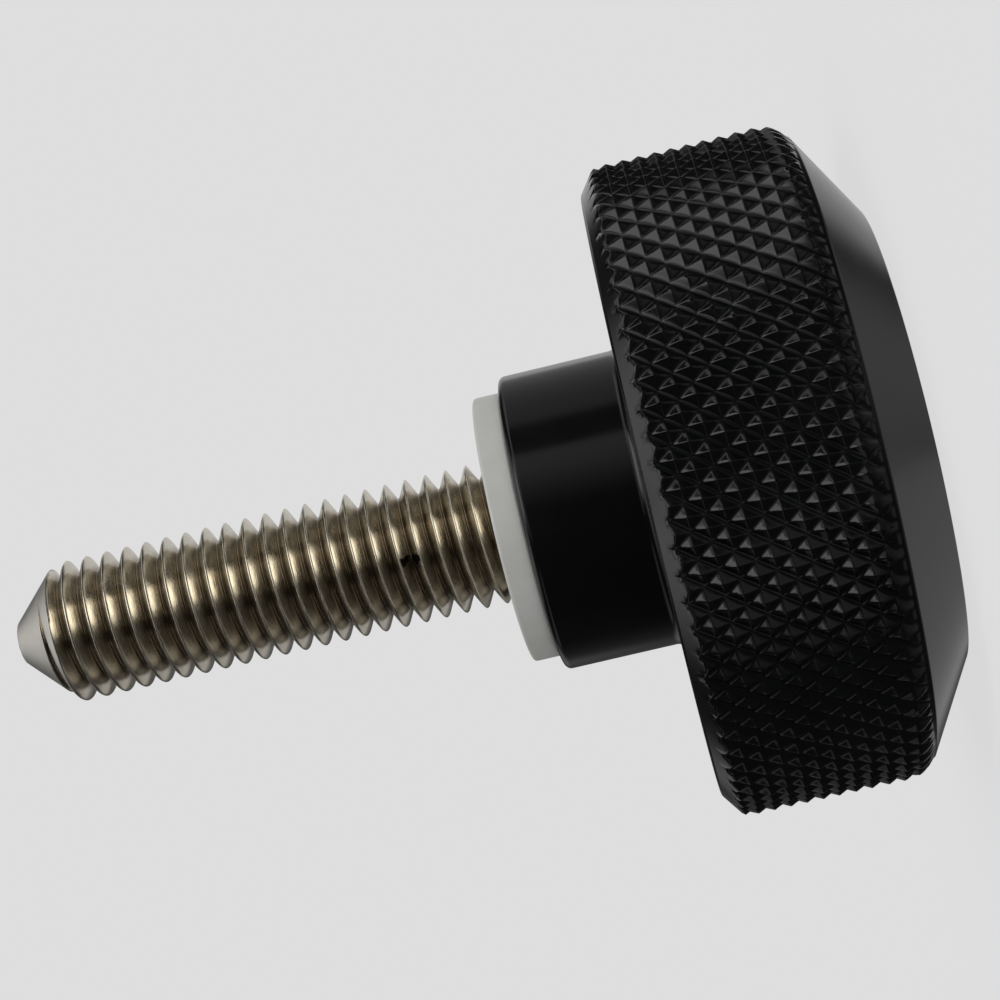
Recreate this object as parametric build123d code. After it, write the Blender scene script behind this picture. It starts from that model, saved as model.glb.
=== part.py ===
from build123d import *
import os
from math import radians, tan

# ---------------------------------------------------------------------------
# Threaded knob: a hand screw with a cross-knurled head, a boss and a washer.
#
# Millimetres.  The origin is the centre of the flat front face of the head,
# which is also the face the knob stands on, and +Z runs along the axis from
# that face through the head, the boss and the washer to the point of the stud.
# ---------------------------------------------------------------------------

# --- head -------------------------------------------------------------------
HEAD_D = 28.6            # over the crests of the knurl
FACE_D = 19.6            # flat front face
FACE_EDGE_R = 0.35       # soft edge between front face and front chamfer
CHAMFER_ANGLE = 32.0     # front chamfer, from the plane of the front face
FRONT_CORNER_R = 1.5     # round between front chamfer and knurled band
BACK_CHAMFER_Z = 10.55   # where the back chamfer leaves the knurled band
BACK_CHAMFER_D = 26.4    # where it reaches the flat back face
HEAD_BACK_Z = 11.35      # flat back face of the head
BACK_CORNER_R = 0.6      # round between knurled band and back chamfer
BACK_EDGE_R = 0.3        # round between back chamfer and back face

# --- boss, one piece with the head ------------------------------------------
BOSS_D = 13.0
BOSS_TOP_Z = 16.65       # end face of the boss, where the washer lies
BOSS_EDGE_R = 0.28       # rounded outer edge of the end face
BOSS_FOOT_R = 0.4        # fillet between boss and back face

# --- thread -----------------------------------------------------------------
THREAD_D = 6.35          # 1/4 inch, 28 threads to the inch, over the crests
THREAD_PITCH = 25.4 / 28
# Where the thread is engaged in the head, stud and hole meet on a plain
# cylinder at the thread's mean diameter, which runs on through the washer.
ENGAGED_D = 5.8

# --- blind tapped hole in the boss ------------------------------------------
BORE_BOTTOM_Z = 7.1      # full diameter of the hole ends here
DRILL_POINT_ANGLE = 118.0

# --- washer -----------------------------------------------------------------
WASHER_D = 11.7
WASHER_T = 1.25
WASHER_HOLE_D = 6.5      # clears the thread
WASHER_EDGE = 0.12       # small broken edges

# --- stud -------------------------------------------------------------------
STUD_LENGTH = 31.75      # 1 1/4 inch
STUD_TIP_Z = 39.8
POINT_FLAT_D = 1.85      # small flat end of the cone point
POINT_LENGTH = 2.25      # 45 degree cone
STUD_HIDDEN_CHAMFER = 0.4

WASHER_TOP_Z = BOSS_TOP_Z + WASHER_T
STUD_START_Z = STUD_TIP_Z - STUD_LENGTH
THREAD_R = THREAD_D / 2
ENGAGED_R = ENGAGED_D / 2


def turned(points, rounds=()):
    """Revolve a closed half section in the XZ plane about the Z axis.

    points are its corners, and rounds are (corner, radius) pairs."""
    with BuildPart() as bp:
        with BuildSketch(Plane.XZ) as sk:
            with BuildLine():
                Polyline(*points, close=True)
            make_face()
            for (x, z), r in rounds:
                corner = sk.vertices().sort_by_distance(Vector(x, z, 0))[0]
                fillet(corner, r)
        revolve(axis=Axis.Z)
    return bp.part


# --- knob_head --------------------------------------------------------------
# Half section, from the centre of the front face outwards and round.
head_r = HEAD_D / 2
face_r = FACE_D / 2
boss_r = BOSS_D / 2
corner_z = (head_r - face_r) * tan(radians(CHAMFER_ANGLE))
drill_h = ENGAGED_R / tan(radians(DRILL_POINT_ANGLE / 2))

knob_head = turned(
    [
        (0, 0),
        (face_r, 0),
        (head_r, corner_z),
        (head_r, BACK_CHAMFER_Z),
        (BACK_CHAMFER_D / 2, HEAD_BACK_Z),
        (boss_r, HEAD_BACK_Z),
        (boss_r, BOSS_TOP_Z),
        (ENGAGED_R, BOSS_TOP_Z),
        (ENGAGED_R, BORE_BOTTOM_Z),
        (0, BORE_BOTTOM_Z - drill_h),
    ],
    rounds=[
        ((face_r, 0), FACE_EDGE_R),
        ((head_r, corner_z), FRONT_CORNER_R),
        ((head_r, BACK_CHAMFER_Z), BACK_CORNER_R),
        ((BACK_CHAMFER_D / 2, HEAD_BACK_Z), BACK_EDGE_R),
        ((boss_r, HEAD_BACK_Z), BOSS_FOOT_R),
        ((boss_r, BOSS_TOP_Z), BOSS_EDGE_R),
    ],
)

# --- threaded_stud ----------------------------------------------------------
# Free of the washer it is the envelope of the thread, at the crest diameter,
# with the cone point.
sh = STUD_HIDDEN_CHAMFER
threaded_stud = turned([
    (0, STUD_START_Z),
    (ENGAGED_R - sh, STUD_START_Z),
    (ENGAGED_R, STUD_START_Z + sh),
    (ENGAGED_R, WASHER_TOP_Z),
    (THREAD_R, WASHER_TOP_Z),
    (THREAD_R, STUD_TIP_Z - POINT_LENGTH),
    (POINT_FLAT_D / 2, STUD_TIP_Z),
    (0, STUD_TIP_Z),
])

# --- washer -----------------------------------------------------------------
wi, wo, e = WASHER_HOLE_D / 2, WASHER_D / 2, WASHER_EDGE
washer = turned([
    (wi, BOSS_TOP_Z),
    (wo - e, BOSS_TOP_Z),
    (wo, BOSS_TOP_Z + e),
    (wo, WASHER_TOP_Z - e),
    (wo - e, WASHER_TOP_Z),
    (wi, WASHER_TOP_Z),
])

os.makedirs("parts", exist_ok=True)
export_step(knob_head, "parts/knob_head.step")
export_step(threaded_stud, "parts/threaded_stud.step")
export_step(washer, "parts/washer.step")

for name, part in (("knob_head", knob_head), ("threaded_stud", threaded_stud), ("washer", washer)):
    bb = part.bounding_box()
    print(name, "solids", len(part.solids()), "volume mm3", round(part.volume, 1),
          "z", round(bb.min.Z, 3), round(bb.max.Z, 3), "x", round(bb.min.X, 3), round(bb.max.X, 3))
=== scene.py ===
import math

import bpy
import numpy as np
from mathutils import Matrix, Vector


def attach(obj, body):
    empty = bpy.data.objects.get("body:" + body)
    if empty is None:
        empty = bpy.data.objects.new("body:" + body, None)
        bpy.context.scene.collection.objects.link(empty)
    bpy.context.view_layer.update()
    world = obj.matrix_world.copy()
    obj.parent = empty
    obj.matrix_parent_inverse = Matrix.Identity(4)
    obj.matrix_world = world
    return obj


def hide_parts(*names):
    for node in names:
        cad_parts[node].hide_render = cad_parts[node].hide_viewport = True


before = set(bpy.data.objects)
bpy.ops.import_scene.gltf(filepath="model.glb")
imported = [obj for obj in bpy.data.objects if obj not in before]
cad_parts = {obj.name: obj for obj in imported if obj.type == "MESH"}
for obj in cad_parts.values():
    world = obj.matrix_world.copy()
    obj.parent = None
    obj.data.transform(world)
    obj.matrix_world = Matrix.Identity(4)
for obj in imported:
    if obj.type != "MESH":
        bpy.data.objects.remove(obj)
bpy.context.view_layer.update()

# ---------------------------------------------------------------------------
# Everything below is worked out in millimetres, in the same frame as the CAD
# parts, and becomes metres when a mesh is made.
# ---------------------------------------------------------------------------
MM = 0.001
rng = np.random.default_rng(11)

HEAD_R, FACE_R, BOSS_R = 14.3, 9.8, 6.5
HEAD_BACK_Z, BOSS_TOP_Z = 11.35, 16.65
BORE_R, BORE_BOTTOM_Z = 2.9, 7.1
WASHER_TOP_Z = 17.9
THREAD_R, PITCH = 3.175, 25.4 / 28
TIP_Z, POINT_R, POINT_LEN = 39.8, 0.925, 2.25


# --- meshes ------------------------------------------------------------------
def make_object(name, verts, faces, smooth=True):
    """A mesh object from millimetre points and a list of faces."""
    me = bpy.data.meshes.new(name)
    me.from_pydata([tuple(v) for v in (np.asarray(verts, float) * MM)], [], [tuple(int(i) for i in f) for f in faces])
    me.validate(clean_customdata=False)
    me.update()
    me.polygons.foreach_set("use_smooth", [smooth] * len(me.polygons))
    ob = bpy.data.objects.new(name, me)
    bpy.context.scene.collection.objects.link(ob)
    return ob


def rounded(points, radii, arc_points=7, support=0.0):
    """A half section: corners (r, z) with rounds, as a list of points.

    Each round becomes an arc of arc_points points between its tangent points."""
    out = []
    n = len(points)
    for i in range(n):
        p = np.array(points[i], float)
        rad = radii[i] if i < len(radii) else 0
        if not rad or i == 0 or i == n - 1:
            out.append(p)
            continue
        a, b = np.array(points[i - 1], float) - p, np.array(points[i + 1], float) - p
        la, lb = np.linalg.norm(a), np.linalg.norm(b)
        a, b = a / la, b / lb
        half = math.acos(np.clip(a @ b, -1, 1)) / 2
        t = rad / math.tan(half)
        centre = p + (a + b) / np.linalg.norm(a + b) * rad / math.sin(half)
        p0, p1 = p + a * t, p + b * t
        a0 = math.atan2(*(p0 - centre)[::-1])
        a1 = math.atan2(*(p1 - centre)[::-1])
        d = (a1 - a0 + math.pi) % (2 * math.pi) - math.pi
        if support:
            out.append(p + a * min(t + support, la * 0.5))
        for k in range(arc_points):
            ang = a0 + d * k / (arc_points - 1)
            out.append(centre + rad * np.array([math.cos(ang), math.sin(ang)]))
        if support:
            out.append(p + b * min(t + support, lb * 0.5))
    return np.array(out)


class Lathe:
    """Collects rings and the faces between them. All rings turn the same way."""

    def __init__(self):
        self.v, self.f, self.n = [], [], 0

    def add(self, pts):
        first = self.n
        self.v.append(np.asarray(pts, float))
        self.n += len(pts)
        return np.arange(first, self.n)

    def ring(self, r, z, n, phase=0.0):
        t = np.arange(n) * 2 * math.pi / n + phase
        return self.add(np.stack([r * np.cos(t), r * np.sin(t), np.full(n, z)], 1))

    def pole(self, z):
        return self.add([[0.0, 0.0, z]])

    def join(self, a, b):
        """Faces from ring a to ring b, with a on the inside of the walk."""
        if len(a) == 1 and len(b) == 1:
            return
        if len(a) == 1:
            m = len(b)
            self.f += [(a[0], b[(i + 1) % m], b[i]) for i in range(m)]
        elif len(b) == 1:
            m = len(a)
            self.f += [(a[i], a[(i + 1) % m], b[0]) for i in range(m)]
        elif len(a) == len(b):
            m = len(a)
            self.f += [(a[i], a[(i + 1) % m], b[(i + 1) % m], b[i]) for i in range(m)]
        elif len(a) > len(b):  # fine to coarse
            k, m = len(a) // len(b), len(b)
            for i in range(m):
                j = (i + 1) % m
                mid = k // 2
                for s in range(k):
                    p, q = a[i * k + s], a[(i * k + s + 1) % len(a)]
                    self.f.append((p, q, b[i] if s < mid else b[j]))
                self.f.append((b[i], a[i * k + mid], b[j]))
        else:  # coarse to fine
            k, m = len(b) // len(a), len(a)
            for i in range(m):
                j = (i + 1) % m
                mid = k // 2
                for s in range(k):
                    p, q = b[i * k + s], b[(i * k + s + 1) % len(b)]
                    self.f.append((a[i] if s < mid else a[j], q, p))
                self.f.append((a[i], a[j], b[i * k + mid]))

    def walk(self, section, n, start=None):
        """Rings along a section, each joined to the one before. Returns the last ring."""
        last = start
        for r, z in section:
            ring = self.pole(z) if r < 1e-9 else self.ring(r, z, n)
            if last is not None:
                self.join(last, ring)
            last = ring
        return last

    def made(self, name):
        return make_object(name, np.concatenate(self.v), self.f)


def faces_out(ob):
    """Turns the faces outwards, if the closed mesh is inside out."""
    me = ob.data
    co = np.zeros(len(me.vertices) * 3)
    me.vertices.foreach_get("co", co)
    co = co.reshape(-1, 3)
    me.calc_loop_triangles()
    t = np.zeros(len(me.loop_triangles) * 3, np.int64)
    me.loop_triangles.foreach_get("vertices", t)
    a, b, c = co[t.reshape(-1, 3)].transpose(1, 0, 2)
    if np.einsum("ij,ij->i", a, np.cross(b, c)).sum() < 0:
        me.flip_normals()
    return ob


# --- knob_head ---------------------------------------------------------------
# The knurl: two families of helical grooves cross and leave rows of four-sided
# points. In tooth units the grooves are the lines u = whole and v = whole.
TEETH = 80
KNURL_HALF_Z = 0.70      # half a point, along the axis
KNURL_DEPTH = 0.38
KNURL_Z0 = 2.30
STEPS = np.array([0.0, 0.05, 0.24, 0.5, 0.76, 0.95])   # mesh lines in half a point
ROWS_HALF = 13

CHAMFER = math.radians(32.0)
corner_z = (HEAD_R - FACE_R) * math.tan(CHAMFER)
OUTER = rounded(
    [(0, 0), (FACE_R, 0), (HEAD_R, corner_z), (HEAD_R, 10.55), (13.2, HEAD_BACK_Z), (BOSS_R, HEAD_BACK_Z)],
    [0, 0.35, 1.5, 0.6, 0.3, 0], arc_points=41)
# The part of the outline that the knurl is cut in, as radius over z.
_o = OUTER[(OUTER[:, 0] > FACE_R + 0.3)]
_keep = np.concatenate([[True], np.diff(_o[:, 1]) > 1e-9])
OUT_Z, OUT_R = _o[_keep, 1], _o[_keep, 0]


def outline(z):
    return np.interp(z, OUT_Z, OUT_R)


waves = [(int(rng.integers(2, 38)), rng.uniform(0.2, 2.2), rng.uniform(0, 6.28), rng.uniform(0, 6.28)) for _ in range(24)]


def drift(theta, z, k):
    """A slow uneven field, seamless round the head, of size about 1."""
    s = 0
    for m, w, p, q in waves[k * 8:k * 8 + 8]:
        s = s + np.sin(m * theta + p) * np.cos(w * z + q)
    return s / 2.8


def cut(theta, z):
    """Radius of the knurled surface, over the whole band."""
    a = theta * TEETH / (2 * math.pi) + 0.022 * drift(theta, z, 0)
    b = (z - KNURL_Z0) / (2 * KNURL_HALF_Z) + 0.018 * drift(theta, z, 1)

    def groove(t, soft):
        x = np.abs(2 * (t - np.floor(t)) - 1)          # 1 in the groove, 0 on the crest
        x = np.sqrt(x * x + 0.03 ** 2)
        return 1.0 - np.sqrt((1.0 - x) ** 2 + soft ** 2)

    # one family of grooves is cut a little deeper than the other
    gu, gv = groove(a + b, 0.015) * 0.84, groove(a - b, 0.05)
    g = 0.5 * (gu + gv + np.sqrt((gu - gv) ** 2 + 0.02 ** 2)) - 0.008
    depth = KNURL_DEPTH * (1 + 0.09 * drift(theta, z, 2))
    # toward the front the grooves dip a little, and run out in the chamfer
    dip = np.where(z < 6.0, 0.45 * (HEAD_R - outline(z)), 0.0)
    return HEAD_R - 0.004 - depth * g - dip


def head_radius(theta, z):
    return np.minimum(outline(z), cut(theta, z))


def knurl_grid():
    """theta, z and radius of the grid over the knurled band, rows by columns."""
    na, nb = len(STEPS) * 2 * TEETH, len(STEPS) * ROWS_HALF + 1
    ta = (np.arange(2 * TEETH)[:, None] + STEPS[None, :]).ravel() * math.pi / TEETH
    tz = KNURL_Z0 + KNURL_HALF_Z * np.append((np.arange(ROWS_HALF)[:, None] + STEPS[None, :]).ravel(), ROWS_HALF)
    z_hi = 11.24
    tz = np.minimum(tz, z_hi + (tz - z_hi) * 0)  # rows past the band are dropped below
    tz = np.append(tz[tz < z_hi - 0.01], z_hi)
    th, zz = np.meshgrid(ta, tz)
    # Points near the line where knurl and outline meet are moved onto it, so that the edge of each groove is clean.
    da = np.gradient(ta)[None, :] * HEAD_R
    dz = np.gradient(tz)[:, None]
    eps = 0.004
    for _ in range(3):
        f = outline(zz) - cut(th, zz)
        ft = (outline(zz) - cut(th + eps / HEAD_R, zz) - f) / eps
        fz = (outline(zz + eps) - cut(th, zz + eps) - f) / eps
        g2 = ft * ft + fz * fz + 1e-9
        st, sz = -f * ft / g2, -f * fz / g2
        near = (np.abs(st) < 0.42 * da) & (np.abs(sz) < 0.42 * dz)
        near[0] = near[-1] = False
        if _ == 0:
            allowed = near
        move = allowed & near
        th = np.where(move, th + st / HEAD_R, th)
        zz = np.where(move, zz + sz, zz)
        allowed = move
    return th, zz, head_radius(th, zz), tz


def build_head():
    L = Lathe()
    n = 240
    th, zz, rr, tz = knurl_grid()
    rows, cols = th.shape
    fine0 = None
    # front face, soft edge and chamfer, up to the knurl
    front = [(0.0, 0.0), (2.0, 0.0), (5.0, 0.0), (8.0, 0.0), (9.3, 0.0)]
    edge = rounded([(0, 0), (FACE_R, 0), (HEAD_R, corner_z)], [0, 0.35, 0], arc_points=9, support=0.06)[1:-1]
    front += [tuple(p) for p in edge]
    r1, z1 = edge[-1]
    r2, z2 = float(outline(tz[0])), float(tz[0])
    for s in (0.12, 0.3, 0.5, 0.7, 0.86):
        front.append((r1 + (r2 - r1) * s, z1 + (z2 - z1) * s))
    last = L.walk(front, n)
    s = 0.95
    ring = L.ring(r1 + (r2 - r1) * s, z1 + (z2 - z1) * s, n)
    L.join(last, ring)
    # knurled band
    grid = []
    for j in range(rows):
        grid.append(L.add(np.stack([rr[j] * np.cos(th[j]), rr[j] * np.sin(th[j]), zz[j]], 1)))
    L.join(ring, grid[0])
    k = len(STEPS)
    half_b = np.searchsorted(KNURL_Z0 + KNURL_HALF_Z * np.arange(ROWS_HALF + 2), tz[:-1] + 1e-6) - 1
    for j in range(rows - 1):
        lo, hi = grid[j], grid[j + 1]
        for i in range(cols):
            i2 = (i + 1) % cols
            if (i // k + half_b[j]) % 2 == 0:
                L.f += [(lo[i], lo[i2], hi[i2]), (lo[i], hi[i2], hi[i])]
            else:
                L.f += [(lo[i], lo[i2], hi[i]), (lo[i2], hi[i2], hi[i])]
    # back chamfer, back face, boss, end face, bore
    back = rounded(
        [(float(outline(tz[-1])), float(tz[-1])), (13.2, HEAD_BACK_Z), (BOSS_R, HEAD_BACK_Z), (BOSS_R, BOSS_TOP_Z),
         (BORE_R + 0.25, BOSS_TOP_Z), (BORE_R, BOSS_TOP_Z - 0.25), (BORE_R, BORE_BOTTOM_Z),
         (0, BORE_BOTTOM_Z - BORE_R / math.tan(math.radians(59)))],
        [0, 0.3, 0.4, 0.28, 0.03, 0.03, 0, 0], arc_points=8, support=0.05)[1:]
    walk = []
    for a, b in zip(back[:-1], back[1:]):
        walk.append(tuple(a))
        length = np.hypot(*(b - a))
        cuts = int(length // 1.2)
        for c in range(cuts):
            walk.append(tuple(a + (b - a) * (c + 1) / (cuts + 1)))
    walk.append(tuple(back[-1]))
    r0, z0 = walk[0]
    first = L.ring(r0, z0, n)
    L.join(grid[-1], first)
    L.walk(walk[1:], n, start=first)
    return faces_out(L.made("head_knurled"))


# --- threaded_stud -----------------------------------------------------------
CREST_Z = WASHER_TOP_Z + 1.15 * PITCH      # a crest of the helix at azimuth 0
THREAD_DEPTH, THREAD_SLOPE = 0.80, 1.95


def thread_radius(t, z):
    """Radius over the thread: t is the distance from the crest in pitches, -0.5 to 0.5."""
    far = np.clip((z - 22.0) / 15.0, 0, 1)          # 0 near the washer, 1 at the point
    x = np.sqrt((np.abs(t) * PITCH) ** 2 + 0.010 ** 2)
    v = THREAD_R + 0.030 - THREAD_SLOPE * x
    cap = THREAD_R - 0.002 - 0.02 * far
    k = 0.075 + 0.04 * far
    crest = 0.5 * (v + cap - np.sqrt((v - cap) ** 2 + k * k))
    root = THREAD_R - THREAD_DEPTH
    kr = 0.085
    return 0.5 * (crest + root + np.sqrt((crest - root) ** 2 + kr * kr)) - 0.01


POINT = rounded([(THREAD_R + 1.0, TIP_Z - POINT_LEN - 1.0), (POINT_R, TIP_Z), (0, TIP_Z)], [0, 0.12, 0], arc_points=9)


def point_radius(z):
    """Radius of the cone point at z, with its softened end."""
    return np.interp(z, POINT[:-1, 1] + np.arange(len(POINT) - 1) * 1e-9, POINT[:-1, 0])


def build_stud():
    n = 120
    t = np.array([0, .03, .07, .12, .19, .27, .34, .39, .43, .465, .5])
    t = np.concatenate([t, 1 - t[-2:0:-1]])           # one pitch, from crest to crest
    m = len(t)
    lo_z, hi_z = BOSS_TOP_Z + 0.05, TIP_Z
    turn_lo = math.floor((lo_z - CREST_Z) / PITCH) - 2
    turn_hi = math.ceil((hi_z - CREST_Z) / PITCH) + 1
    turns = np.arange(turn_lo, turn_hi)
    rows = (turns[:, None] + t[None, :]).ravel()      # in pitches
    theta = np.arange(n) * 2 * math.pi / n
    hel = rows[:, None] + theta[None, :] / (2 * math.pi)
    z = CREST_Z + PITCH * hel
    frac = (hel + 0.5) % 1.0 - 0.5
    # the thread fades out into the plain hidden part under the washer
    hidden = np.interp(z, [lo_z, lo_z + 0.35], [BORE_R - 0.03, THREAD_R + 0.1])

    def surface(frac, z):
        return np.minimum(np.minimum(thread_radius(frac, z), point_radius(z)), np.interp(z, [lo_z, lo_z + 0.35], [BORE_R - 0.03, THREAD_R + 0.1]))

    # points near the line where thread and cone meet are moved onto it
    dz = np.gradient(rows)[:, None] * PITCH
    eps = 0.003
    for _ in range(3):
        fr = ((z - CREST_Z) / PITCH - theta[None, :] / (2 * math.pi) + 0.5) % 1.0 - 0.5
        f = point_radius(z) - thread_radius(fr, z)
        fr2 = ((z + eps - CREST_Z) / PITCH - theta[None, :] / (2 * math.pi) + 0.5) % 1.0 - 0.5
        g = (point_radius(z + eps) - thread_radius(fr2, z + eps) - f) / eps
        s = -f / np.where(np.abs(g) < 0.05, 0.05, g)
        ok = (np.abs(s) < 0.42 * dz) & (z > TIP_Z - POINT_LEN - 0.6) & (z < TIP_Z - 0.2)
        z = np.where(ok, z + s, z)
    fr = ((z - CREST_Z) / PITCH - theta[None, :] / (2 * math.pi) + 0.5) % 1.0 - 0.5
    zc = np.clip(z, lo_z, hi_z)
    r = surface(fr, zc)
    r = np.where(z >= hi_z, POINT[-2, 0], r)
    r = np.where(z <= lo_z, BORE_R - 0.03, r)
    end_ring_r = POINT[-2, 0]
    x, y = r * np.cos(theta)[None, :], r * np.sin(theta)[None, :]
    # one vertex for every grid point that lies on neither end, and one ring of points for each end
    L = Lathe()
    bottom = L.ring(BORE_R - 0.03, lo_z, n)
    top = L.ring(end_ring_r, hi_z, n)
    index = np.full(z.shape, -1)
    inside = (z > lo_z) & (z < hi_z)
    index[inside] = np.arange(inside.sum()) + L.n
    L.add(np.stack([x[inside], y[inside], zc[inside]], 1))
    low, high = z <= lo_z, z >= hi_z
    cols = np.broadcast_to(np.arange(n)[None, :], z.shape)
    index[low] = bottom[cols[low]]
    index[high] = top[cols[high]]
    R = len(rows)
    for i in range(n):
        i2 = (i + 1) % n
        shift = m if i2 == 0 else 0
        for j in range(R - 1):
            a, d = index[j, i], index[j + 1, i]
            if j + 1 + shift > R - 1:
                continue
            b, c = index[j + shift, i2], index[j + 1 + shift, i2]
            q = [a, b, c, d]
            q = [p for k, p in enumerate(q) if p != q[k - 1]]
            if len(q) >= 3 and len(set(q)) == len(q):
                L.f.append(tuple(q))
    # flat end
    r_end = end_ring_r
    inner = L.ring(r_end * 0.93, hi_z, n)
    L.join(top, inner)
    mid = L.ring(r_end * 0.5, hi_z, 40)
    L.join(inner, mid)
    L.join(mid, L.pole(hi_z))
    # plain hidden part in the head
    zs = 39.8 - 31.75
    prev = L.walk([(0.0, zs), (BORE_R - 0.43, zs), (BORE_R - 0.03, zs + 0.4), (BORE_R - 0.03, 12.0)], n)
    L.join(prev, bottom)
    return faces_out(L.made("stud_threaded"))


# --- washer ------------------------------------------------------------------
def build_washer():
    L = Lathe()
    n = 180
    wi, wo, z0, z1 = 3.24, 5.85, BOSS_TOP_Z, WASHER_TOP_Z
    sec = rounded([(4.5, z0), (wo, z0), (wo, z1), (wi, z1), (wi, z0), (4.5, z0)], [0, 0.12, 0.12, 0.12, 0.12, 0],
                  arc_points=6, support=0.04)
    rings = []
    for r, z in sec[:-1]:
        rings.append(L.ring(r, z, n))
    for a, b in zip(rings, rings[1:] + rings[:1]):
        L.join(a, b)
    return faces_out(L.made("washer_ring"))


head = build_head()
stud = build_stud()
washer = build_washer()

for ob, node, slot in ((head, "knob_head", "black_aluminium"), (stud, "threaded_stud", "stainless_steel"),
                       (washer, "washer", "white_nylon")):
    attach(ob, "root")
    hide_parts(node)


# --- materials ---------------------------------------------------------------
class Nodes:
    def __init__(self, name):
        self.mat = bpy.data.materials.new(name)
        self.mat.use_nodes = True
        self.nt = self.mat.node_tree
        self.nt.nodes.clear()
        self.out = self.nt.nodes.new("ShaderNodeOutputMaterial")
        self.bsdf = self.nt.nodes.new("ShaderNodeBsdfPrincipled")
        self.link(self.bsdf.outputs[0], self.out.inputs["Surface"])

    def new(self, kind, **props):
        nd = self.nt.nodes.new(kind)
        for k, v in props.items():
            setattr(nd, k, v)
        return nd

    def link(self, a, b):
        self.nt.links.new(a, b)

    def math(self, op, a, b=None, clamp=False):
        nd = self.new("ShaderNodeMath", operation=op, use_clamp=clamp)
        for i, x in enumerate((a, b)):
            if x is None:
                continue
            if isinstance(x, (int, float)):
                nd.inputs[i].default_value = x
            else:
                self.link(x, nd.inputs[i])
        return nd.outputs[0]

    def range(self, x, a, b, c, d, kind="LINEAR"):
        nd = self.new("ShaderNodeMapRange", interpolation_type=kind, clamp=True)
        self.link(x, nd.inputs["Value"])
        for key, val in zip(("From Min", "From Max", "To Min", "To Max"), (a, b, c, d)):
            nd.inputs[key].default_value = val
        return nd.outputs["Result"]

    def mix(self, fac, a, b):
        nd = self.new("ShaderNodeMix", data_type="RGBA")
        if isinstance(fac, (int, float)):
            nd.inputs[0].default_value = fac
        else:
            self.link(fac, nd.inputs[0])
        for i, x in ((6, a), (7, b)):
            if isinstance(x, tuple):
                nd.inputs[i].default_value = (*x, 1.0)
            else:
                self.link(x, nd.inputs[i])
        return nd.outputs[2]

    def noise(self, vec, scale, detail=2.0, rough=0.5, dims="3D"):
        nd = self.new("ShaderNodeTexNoise", noise_dimensions=dims)
        nd.inputs["Scale"].default_value = scale
        nd.inputs["Detail"].default_value = detail
        nd.inputs["Roughness"].default_value = rough
        if vec is not None:
            self.link(vec, nd.inputs["Vector"])
        return nd.outputs["Fac"]

    def radial(self):
        """(radius, z) of the object's own coordinates, and those coordinates."""
        tc = self.new("ShaderNodeTexCoord")
        sep = self.new("ShaderNodeSeparateXYZ")
        self.link(tc.outputs["Object"], sep.inputs[0])
        x2 = self.math("MULTIPLY", sep.outputs[0], sep.outputs[0])
        y2 = self.math("MULTIPLY", sep.outputs[1], sep.outputs[1])
        r = self.math("SQRT", self.math("ADD", x2, y2))
        return r, sep.outputs[2], tc.outputs["Object"]

    def combine(self, x, y, z):
        nd = self.new("ShaderNodeCombineXYZ")
        for i, v in enumerate((x, y, z)):
            if isinstance(v, (int, float)):
                nd.inputs[i].default_value = v
            else:
                self.link(v, nd.inputs[i])
        return nd.outputs[0]

    def bump(self, height, strength, distance):
        nd = self.new("ShaderNodeBump")
        nd.inputs["Strength"].default_value = strength
        nd.inputs["Distance"].default_value = distance
        self.link(height, nd.inputs["Height"])
        self.link(nd.outputs[0], self.bsdf.inputs["Normal"])
        return nd


def black_material():
    m = Nodes("black_anodised")
    r, z, obj = m.radial()
    # fine turning marks: lines of constant radius and height, the same all the way round
    marks = m.noise(m.combine(m.math("MULTIPLY", r, 1.0), m.math("MULTIPLY", z, 1.0), 0.0), 14000.0, 2.0, 0.6)
    grain = m.noise(obj, 9000.0, 2.0, 0.5)
    cloud = m.noise(obj, 260.0, 3.0, 0.55)
    height = m.math("ADD", m.math("MULTIPLY", marks, 0.8), m.math("MULTIPLY", grain, 0.25))
    m.bump(height, 0.04, 0.00002)
    col = m.mix(m.range(cloud, 0.3, 0.7, 0.0, 1.0), (0.0022, 0.0024, 0.0024), (0.0036, 0.0039, 0.0038))
    m.link(col, m.bsdf.inputs["Base Color"])
    rough = m.range(m.math("ADD", m.math("MULTIPLY", cloud, 0.7), m.math("MULTIPLY", marks, 0.3)), 0.3, 0.7, 0.13, 0.20)
    m.link(rough, m.bsdf.inputs["Roughness"])
    m.bsdf.inputs["IOR"].default_value = 1.37
    return m.mat


SPECK_AT = (-0.0003, -0.0029, 0.02165)


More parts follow.
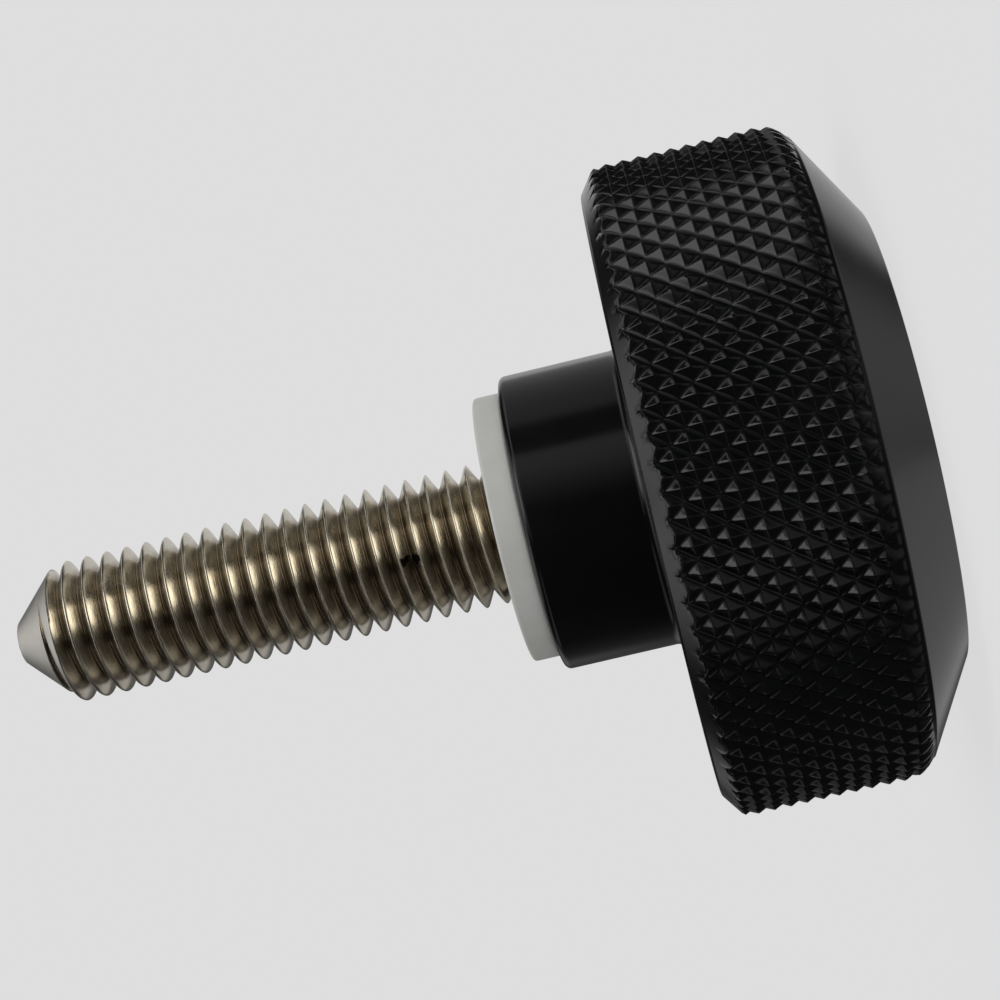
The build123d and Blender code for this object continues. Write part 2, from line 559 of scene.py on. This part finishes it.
def steel_material():
    m = Nodes("stainless_thread")
    r, z, obj = m.radial()
    cloud = m.noise(obj, 900.0, 3.0, 0.6)
    fine = m.noise(obj, 12000.0, 2.0, 0.5)
    lines = m.noise(m.combine(r, z, 0.0), 26000.0, 1.0, 0.5)
    warm = m.mix(m.range(cloud, 0.35, 0.65, 0.0, 1.0), (0.67, 0.612, 0.505), (0.73, 0.68, 0.575))
    # painted shade: the roots of the thread are coloured darker, for the shade that falls in them
    painted_root_shade = m.range(r, 0.00240, 0.00272, 1.0, 0.0)
    warm = m.mix(painted_root_shade, warm, (0.26, 0.215, 0.15))
    # the turned point is greyer and duller than the rolled thread
    cone_at = m.math("SUBTRACT", m.math("ADD", r, z), (TIP_Z + POINT_R) * MM)      # 0 on the cone
    on_cone = m.range(cone_at, -0.00006, -0.00002, 0.0, 1.0)
    col = m.mix(on_cone, warm, (0.45, 0.435, 0.40))
    # a small dark speck of dirt on the thread
    # (its depth counts less than its height and width, so that it covers flank and crest alike)
    flat = m.new("ShaderNodeVectorMath", operation="MULTIPLY")
    m.link(obj, flat.inputs[0])
    flat.inputs[1].default_value = (1.0, 0.3, 1.0)
    far = m.new("ShaderNodeVectorMath", operation="DISTANCE")
    m.link(flat.outputs["Vector"], far.inputs[0])
    far.inputs[1].default_value = (SPECK_AT[0], SPECK_AT[1] * 0.3, SPECK_AT[2])
    edge = m.math("ADD", far.outputs["Value"], m.math("MULTIPLY", m.noise(obj, 2600.0, 1.0, 0.4), 0.0004))
    dirt = m.range(edge, 0.00044, 0.00048, 1.0, 0.0)
    col = m.mix(dirt, col, (0.010, 0.009, 0.007))
    m.link(col, m.bsdf.inputs["Base Color"])
    m.bsdf.inputs["Metallic"].default_value = 1.0
    rough = m.math("ADD", m.range(cloud, 0.3, 0.7, 0.15, 0.24), m.math("MULTIPLY", on_cone, 0.30))
    rough = m.math("ADD", rough, m.math("MULTIPLY", dirt, 0.45))
    m.link(rough, m.bsdf.inputs["Roughness"])
    height = m.math("ADD", m.math("MULTIPLY", lines, 0.5), m.math("MULTIPLY", fine, 0.3))
    height = m.math("ADD", height, m.math("MULTIPLY", m.noise(obj, 1100.0, 2.0, 0.5), 1.6))
    m.bump(height, 0.25, 0.00003)
    return m.mat


def nylon_material():
    m = Nodes("white_nylon")
    r, z, obj = m.radial()
    cloud = m.noise(obj, 420.0, 3.0, 0.6)
    fine = m.noise(obj, 5200.0, 3.0, 0.6)
    col = m.mix(m.range(cloud, 0.3, 0.7, 0.0, 1.0), (0.555, 0.552, 0.522), (0.625, 0.62, 0.60))
    m.link(col, m.bsdf.inputs["Base Color"])
    m.link(m.range(fine, 0.3, 0.7, 0.42, 0.56), m.bsdf.inputs["Roughness"])
    m.bsdf.inputs["IOR"].default_value = 1.53
    m.bump(m.math("ADD", m.math("MULTIPLY", cloud, 0.6), m.math("MULTIPLY", fine, 0.4)), 0.2, 0.00003)
    return m.mat


head.data.materials.append(black_material())
stud.data.materials.append(steel_material())
washer.data.materials.append(nylon_material())


# --- floor, light and camera ---------------------------------------------------
GREY = 0.7305            # the photograph's even background
AMBIENT = 0.04

# Soft lights. A band is a patch of the sky round the knob: its angle goes round the Z axis, in degrees, with 90 toward
# +X, and 0 toward -Y for "front" or toward +Y for "behind". It fades in and out over the two angles given at each end,
# and over two heights (z of the direction) at each end. A spot has a direction, the angles that it fades out between,
# and a strength.
BANDS = [
    ("front", (6, 50), (52, 56), (-0.18, -0.06), (0.35, 0.50), 0.60),
    ("front", (-8, 18), (53, 64), (0.45, 0.58), (0.84, 0.93), 3.0),
    ("front", (-16, -6), (80, 100), (0.18, 0.26), (0.40, 0.48), 0.56),
    ("front", (34, 56), (100, 125), (0.12, 0.20), (0.40, 0.48), 0.60),
    ("front", (-125, -105), (-44, -32), (0.18, 0.26), (0.42, 0.52), 0.46),
    ("front", (-16, -6), (80, 100), (-0.55, -0.45), (-0.34, -0.22), 0.12),
    ("front", (-8, 18), (50, 59), (-0.90, -0.80), (-0.62, -0.50), 0.35),
    ("front", (76, 84), (150, 160), (-0.30, -0.10), (0.25, 0.50), 0.36),
    ("behind", (-2, 7), (26, 36), (-0.64, -0.50), (0.30, 0.50), 0.56),
    ("behind", (-75, -50), (-5, 1), (-0.50, -0.30), (0.10, 0.25), 0.05),
    ("behind", (-36, -28), (-9, -2), (-0.94, -0.84), (-0.36, -0.22), 0.38),
]
SPOTS = [
    ((0.28, 0.30, -0.91), 14, 28, 0.28),
    ((0.0, 0.2, -0.98), 15, 45, 0.20),
    ((-0.56, 0.76, 0.33), 6, 20, 0.35),
    ((0.05, 0.05, 0.99), 14, 40, 1.2),
]


def smooth(x, a, b):
    t = np.clip((x - a) / (b - a), 0, 1)
    return t * t * (3 - 2 * t)


def unit(v):
    return np.array(v, float) / np.linalg.norm(v)


def sky(d):
    """The light that comes from direction d, as an array of directions."""
    front = np.degrees(np.arctan2(d[..., 0], -d[..., 1]))
    behind = np.degrees(np.arctan2(d[..., 0], d[..., 1]))
    total = np.full(d.shape[:-1], AMBIENT)
    for side, (a0, a1), (b0, b1), (z0, z1), (z2, z3), power in BANDS:
        ang = front if side == "front" else behind
        total = total + power * smooth(ang, a0, a1) * (1 - smooth(ang, b0, b1)) * smooth(d[..., 2], z0, z1) * (1 - smooth(d[..., 2], z2, z3))
    for way, inner, outer, power in SPOTS:
        total = total + power * smooth(d @ unit(way), math.cos(math.radians(outer)), math.cos(math.radians(inner)))
    return total


# What the sky gives a flat floor, so that floor and background can have the same grey.
_az, _mu = np.meshgrid((np.arange(720) + 0.5) * math.pi / 360, (np.arange(200) + 0.5) / 200)
_s = np.sqrt(1 - _mu ** 2)
FLOOR_LIGHT = float((sky(np.stack([_s * np.cos(_az), _s * np.sin(_az), _mu], -1)) * _mu).mean() * 2)
FLOOR_ALBEDO = 0.08

floor_me = bpy.data.meshes.new("floor")
S = 6.0
floor_me.from_pydata([(-S, -S, 0), (S, -S, 0), (S, S, 0), (-S, S, 0)], [], [(0, 1, 2, 3)])
floor = bpy.data.objects.new("floor", floor_me)
bpy.context.scene.collection.objects.link(floor)
fm = Nodes("floor_paper")
fm.bsdf.inputs["Base Color"].default_value = (FLOOR_ALBEDO, FLOOR_ALBEDO, FLOOR_ALBEDO, 1)
fm.bsdf.inputs["Roughness"].default_value = 1.0
fm.bsdf.inputs["Specular IOR Level"].default_value = 0.0
fm.bsdf.inputs["Emission Color"].default_value = (1, 1, 1, 1)
fm.bsdf.inputs["Emission Strength"].default_value = GREY - FLOOR_ALBEDO * FLOOR_LIGHT
floor.data.materials.append(fm.mat)
floor.visible_glossy = False      # the paper lights the knob softly, and the studio is what shines on it

world = bpy.data.worlds.new("studio")
bpy.context.scene.world = world
world.use_nodes = True
wn = world.node_tree
wn.nodes.clear()


def w_new(kind, **props):
    nd = wn.nodes.new(kind)
    for k, v in props.items():
        setattr(nd, k, v)
    return nd


def w_math(op, a, b=None, c=None):
    nd = w_new("ShaderNodeMath", operation=op)
    for i, x in enumerate((a, b, c)):
        if x is None:
            continue
        if isinstance(x, (int, float)):
            nd.inputs[i].default_value = x
        else:
            wn.links.new(x, nd.inputs[i])
    return nd.outputs[0]


def w_smooth(x, a, b, out0=0.0, out1=1.0):
    nd = w_new("ShaderNodeMapRange", interpolation_type="SMOOTHSTEP", clamp=True)
    wn.links.new(x, nd.inputs["Value"])
    for key, val in zip(("From Min", "From Max", "To Min", "To Max"), (a, b, out0, out1)):
        nd.inputs[key].default_value = val
    return nd.outputs["Result"]


w_dir = w_new("ShaderNodeTexCoord")
w_xyz = w_new("ShaderNodeSeparateXYZ")
wn.links.new(w_dir.outputs["Generated"], w_xyz.inputs[0])
wx, wy, wz = w_xyz.outputs
deg = 180 / math.pi
w_front = w_math("MULTIPLY", w_math("ARCTAN2", wx, w_math("MULTIPLY", wy, -1.0)), deg)
w_behind = w_math("MULTIPLY", w_math("ARCTAN2", wx, wy), deg)
light = AMBIENT
for side, (a0, a1), (b0, b1), (z0, z1), (z2, z3), power in BANDS:
    ang = w_front if side == "front" else w_behind
    v = w_math("MULTIPLY", w_smooth(ang, a0, a1), w_smooth(ang, b0, b1, 1.0, 0.0))
    v = w_math("MULTIPLY", v, w_smooth(wz, z0, z1))
    v = w_math("MULTIPLY", v, w_smooth(wz, z2, z3, 1.0, 0.0))
    light = w_math("MULTIPLY_ADD", v, power, light)
for way, inner, outer, power in SPOTS:
    nd = w_new("ShaderNodeVectorMath", operation="DOT_PRODUCT")
    wn.links.new(w_dir.outputs["Generated"], nd.inputs[0])
    nd.inputs[1].default_value = tuple(unit(way))
    v = w_smooth(nd.outputs["Value"], math.cos(math.radians(outer)), math.cos(math.radians(inner)))
    light = w_math("MULTIPLY_ADD", v, power, light)

w_out = w_new("ShaderNodeOutputWorld")
w_cam = w_new("ShaderNodeBackground")
w_cam.inputs[0].default_value = (GREY, GREY, GREY, 1)
w_lit = w_new("ShaderNodeBackground")
wn.links.new(light, w_lit.inputs["Strength"])
w_lit.inputs[0].default_value = (1, 1, 1, 1)
w_path = w_new("ShaderNodeLightPath")
w_mix = w_new("ShaderNodeMixShader")
wn.links.new(w_path.outputs["Is Camera Ray"], w_mix.inputs[0])
wn.links.new(w_lit.outputs[0], w_mix.inputs[1])
wn.links.new(w_cam.outputs[0], w_mix.inputs[2])
wn.links.new(w_mix.outputs[0], w_out.inputs[0])

cam_data = bpy.data.cameras.new("camera")
cam_data.sensor_width = 36.0
cam_data.lens = 86.4
cam_data.clip_start, cam_data.clip_end = 0.002, 20.0
cam = bpy.data.objects.new("camera", cam_data)
bpy.context.scene.collection.objects.link(cam)
right = Vector((-0.229041, 0.080960, -0.970044))
up = Vector((0.973335, 0.006104, -0.229309))
back = Vector((-0.012644, -0.996699, -0.080199))
rot = Matrix((right, up, back)).transposed()
cam.matrix_world = Matrix.Translation((-0.000000, -0.104013, 0.009443)) @ rot.to_4x4()
bpy.context.scene.camera = cam

vs = bpy.context.scene.view_settings
vs.view_transform = "Standard"
vs.look = "None"
